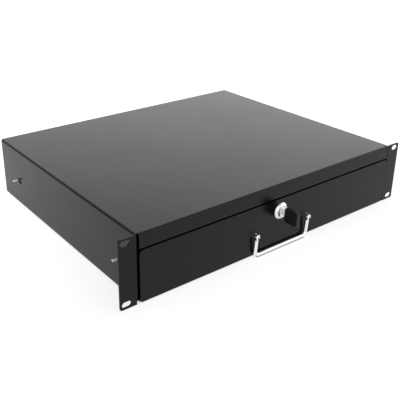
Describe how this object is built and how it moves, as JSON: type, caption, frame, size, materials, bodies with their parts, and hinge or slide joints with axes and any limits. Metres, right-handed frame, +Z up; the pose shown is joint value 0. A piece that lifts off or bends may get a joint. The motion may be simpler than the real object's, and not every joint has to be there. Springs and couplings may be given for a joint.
{
  "type": "sliding rack drawer",
  "caption": "Rack-mount sliding drawer, two units high: folded steel case with slotted ears, steel tray on ball-bearing slides, cam lock with key and hanging bail handle.",
  "frame": {"origin": "centre of the four rack slots, on the front plane of the ears", "axes": "+X to the right seen from the front, +Y back into the rack, +Z up; the drawer opens along -Y"},
  "size_m": [0.4826, 0.3919, 0.0882],
  "materials": {
    "black_coat": "satin",
    "slide_steel": "satin",
    "zinc_steel": "satin",
    "nickel": "polished",
    "chrome": "polished",
    "black_plastic": "satin"
  },
  "bodies": {
    "case": {"case_shell": "black_coat", "top_cover": "black_coat", "rear_panel": "black_coat", "slide_outer_left": "slide_steel", "slide_outer_right": "slide_steel", "case_slide_screws": "zinc_steel"},
    "drawer": {"tray": "black_coat", "drawer_front": "black_coat", "slide_inner_left": "slide_steel", "slide_inner_right": "slide_steel", "lock_body": "nickel", "lock_nut": "zinc_steel", "handle_post_left": "chrome", "handle_post_right": "chrome", "handle_nuts": "zinc_steel", "handle_pins": "chrome"},
    "plug": {"lock_plug": "nickel", "lock_cam": "zinc_steel", "cam_washer": "zinc_steel", "cam_screw": "zinc_steel"},
    "key": {"key_blade": "nickel", "key_bow": "black_plastic"},
    "bail": {"handle_bail": "chrome"},
    "middle_left": {"slide_middle_left": "slide_steel"},
    "outer_cage_body_left": {"outer_cage_left": "zinc_steel"},
    "inner_cage_body_left": {"inner_cage_left": "zinc_steel"},
    "middle_right": {"slide_middle_right": "slide_steel"},
    "outer_cage_body_right": {"outer_cage_right": "zinc_steel"},
    "inner_cage_body_right": {"inner_cage_right": "zinc_steel"}
  },
  "joints": [
    {"name": "drawer_slide", "type": "slide", "parent": "case", "child": "drawer", "axis": [0, -1, 0], "range_m": [0, 0.325]},
    {"name": "middle_left_slide", "type": "slide", "parent": "case", "child": "middle_left", "axis": [0, -1, 0], "range_m": [0, 0.1626]},
    {"name": "outer_cage_left_slide", "type": "slide", "parent": "case", "child": "outer_cage_body_left", "axis": [0, -1, 0], "range_m": [0, 0.08135]},
    {"name": "inner_cage_left_slide", "type": "slide", "parent": "case", "child": "inner_cage_body_left", "axis": [0, -1, 0], "range_m": [0, 0.24385]},
    {"name": "middle_right_slide", "type": "slide", "parent": "case", "child": "middle_right", "axis": [0, -1, 0], "range_m": [0, 0.1626]},
    {"name": "outer_cage_right_slide", "type": "slide", "parent": "case", "child": "outer_cage_body_right", "axis": [0, -1, 0], "range_m": [0, 0.08135]},
    {"name": "inner_cage_right_slide", "type": "slide", "parent": "case", "child": "inner_cage_body_right", "axis": [0, -1, 0], "range_m": [0, 0.24385]},
    {"name": "lock_turn", "type": "hinge", "parent": "drawer", "child": "plug", "pos_m": [0, 0, 0.0065], "axis": [0, -1, 0], "range_deg": [0, 90]},
    {"name": "key_pull", "type": "slide", "parent": "plug", "child": "key", "axis": [0, -1, 0], "range_m": [0, 0.03]},
    {"name": "handle_swing", "type": "hinge", "parent": "drawer", "child": "bail", "pos_m": [0, -0.0072, -0.013], "axis": [-1, 0, 0], "range_deg": [0, 88]}
  ],
  "couplings": [
    {"joint": "middle_left_slide", "follows": "drawer_slide", "ratio": 0.5},
    {"joint": "outer_cage_left_slide", "follows": "drawer_slide", "ratio": 0.25},
    {"joint": "inner_cage_left_slide", "follows": "drawer_slide", "ratio": 0.75},
    {"joint": "middle_right_slide", "follows": "drawer_slide", "ratio": 0.5},
    {"joint": "outer_cage_right_slide", "follows": "drawer_slide", "ratio": 0.25},
    {"joint": "inner_cage_right_slide", "follows": "drawer_slide", "ratio": 0.75}
  ]
}
